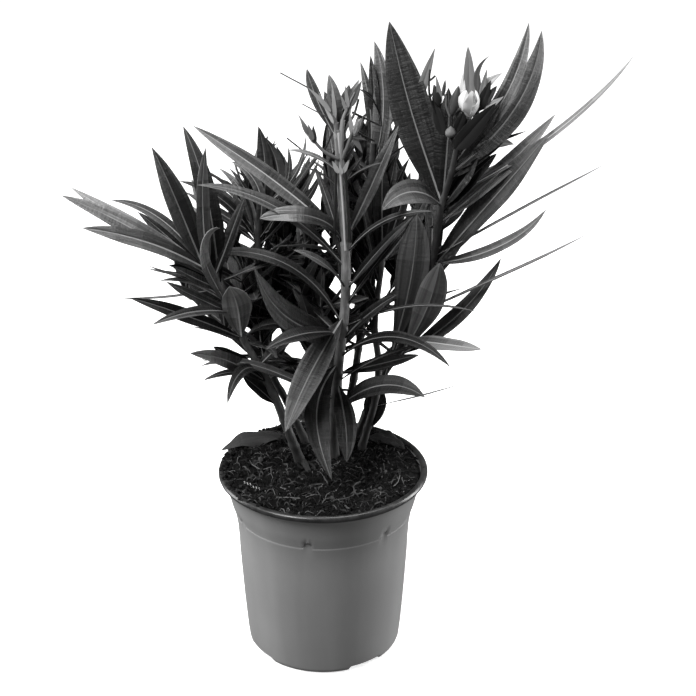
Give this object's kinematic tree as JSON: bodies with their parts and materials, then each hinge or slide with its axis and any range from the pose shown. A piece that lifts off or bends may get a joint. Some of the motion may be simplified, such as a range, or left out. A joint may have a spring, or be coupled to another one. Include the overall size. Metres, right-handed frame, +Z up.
{
  "type": "potted oleander shrub",
  "caption": "Young oleander in a nursery pot: leaning canes with whorls of long narrow leaves and an opening flower head, standing on the flat underside of a round tapered pot.",
  "frame": {"origin": "middle of the pot's flat underside, on the surface that the pot stands on", "axes": "+Z up along the pot's axis; the plant is seen from -Y, with +X to the right"},
  "size_m": [0.4113, 0.2911, 0.5148],
  "materials": {
    "pot": "satin",
    "soil": "matte",
    "cane": "matte",
    "leaf": "satin",
    "blossom": "matte"
  },
  "bodies": {
    "root": {"pot": "pot", "soil": "soil", "cane_middle": "cane", "cane_left": "cane", "cane_right": "cane", "cane_back_middle": "cane", "cane_back_right": "cane", "cane_back_left": "cane", "cane_low_back": "cane", "leaves_left_spread": "leaf", "leaves_left_upright": "leaf", "leaves_left_tall": "leaf", "leaves_left_middle": "leaf", "leaves_left_inner": "leaf", "leaves_left_low": "leaf", "leaves_front_left": "leaf", "leaves_front_hanging": "leaf", "leaves_front_low": "leaf", "leaves_middle_left": "leaf", "leaves_middle_inner": "leaf", "leaves_middle_right": "leaf", "leaves_middle_low": "leaf", "bud_spray_middle": "blossom", "leaves_right_broad": "leaf", "leaves_right_curved": "leaf", "flower_head": "blossom", "leaves_right_spread": "leaf", "leaves_right_long": "leaf", "leaves_right_fine": "leaf", "leaves_right_low": "leaf", "leaves_right_inner": "leaf", "leaves_low_front": "leaf", "leaves_back_middle_top": "leaf", "leaves_back_middle": "leaf", "leaves_back_left_top": "leaf", "leaves_back_left": "leaf", "leaves_back_left_low": "leaf", "leaves_back_right": "leaf", "leaves_far_right": "leaf", "leaves_far_right_low": "leaf", "leaves_low_back": "leaf", "leaves_low_back_under": "leaf"}
  },
  "joints": []
}
